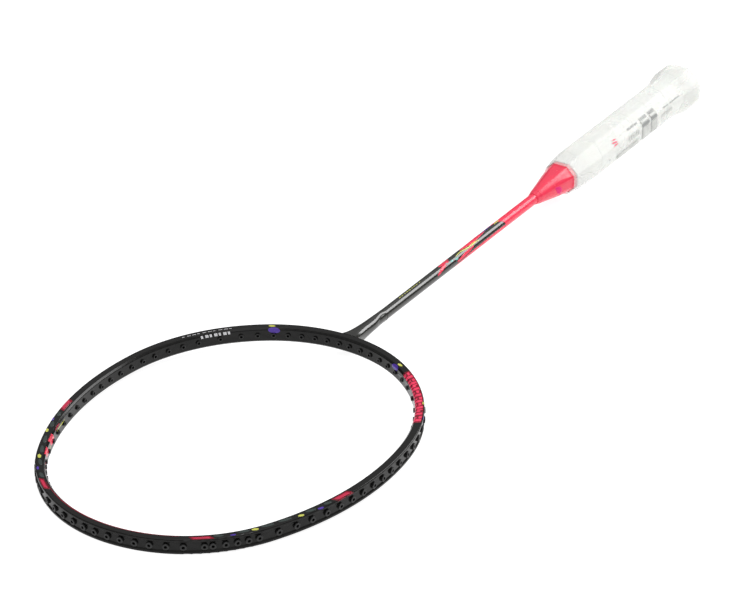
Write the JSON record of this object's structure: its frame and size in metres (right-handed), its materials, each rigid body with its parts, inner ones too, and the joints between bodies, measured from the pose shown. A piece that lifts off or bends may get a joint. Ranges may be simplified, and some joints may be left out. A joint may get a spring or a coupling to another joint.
{
  "type": "badminton racket",
  "caption": "Unstrung badminton racket: grooved oval head frame with string grommets, flared throat, slim shaft, tapered cone and octagonal wrapped grip in clear film.",
  "frame": {"origin": "centre of the butt cap's end face, on the shaft axis", "axes": "+X along the shaft from the butt to the head tip, +Z normal to the string plane, +Y across the head"},
  "size_m": [0.6755, 0.202, 0.0322],
  "materials": {
    "frame_lacquer": "gloss",
    "fairing_lacquer": "gloss",
    "shaft_lacquer": "gloss",
    "carbon_moulding": "matte",
    "cone_plastic": "satin",
    "handle_wood": "matte",
    "cap_plastic": "satin",
    "grip_wrap": "matte",
    "tape": "satin",
    "clear_film": "gloss",
    "grommet_nylon": "satin"
  },
  "bodies": {
    "root": {"head_frame": "frame_lacquer", "throat_joint": "carbon_moulding", "throat_fairing": "fairing_lacquer", "shaft": "shaft_lacquer", "cone": "cone_plastic", "handle_core": "handle_wood", "butt_cheek_left": "handle_wood", "butt_cheek_right": "handle_wood", "butt_cap": "cap_plastic", "base_grip": "grip_wrap", "finishing_tape": "tape", "film_sleeve": "clear_film", "grommets_tip": "grommet_nylon", "grommets_shoulder_left": "grommet_nylon", "grommets_shoulder_right": "grommet_nylon", "grommets_side_left": "grommet_nylon", "grommets_side_right": "grommet_nylon", "grommets_lower_left": "grommet_nylon", "grommets_lower_right": "grommet_nylon", "grommets_throat": "grommet_nylon"}
  },
  "joints": []
}
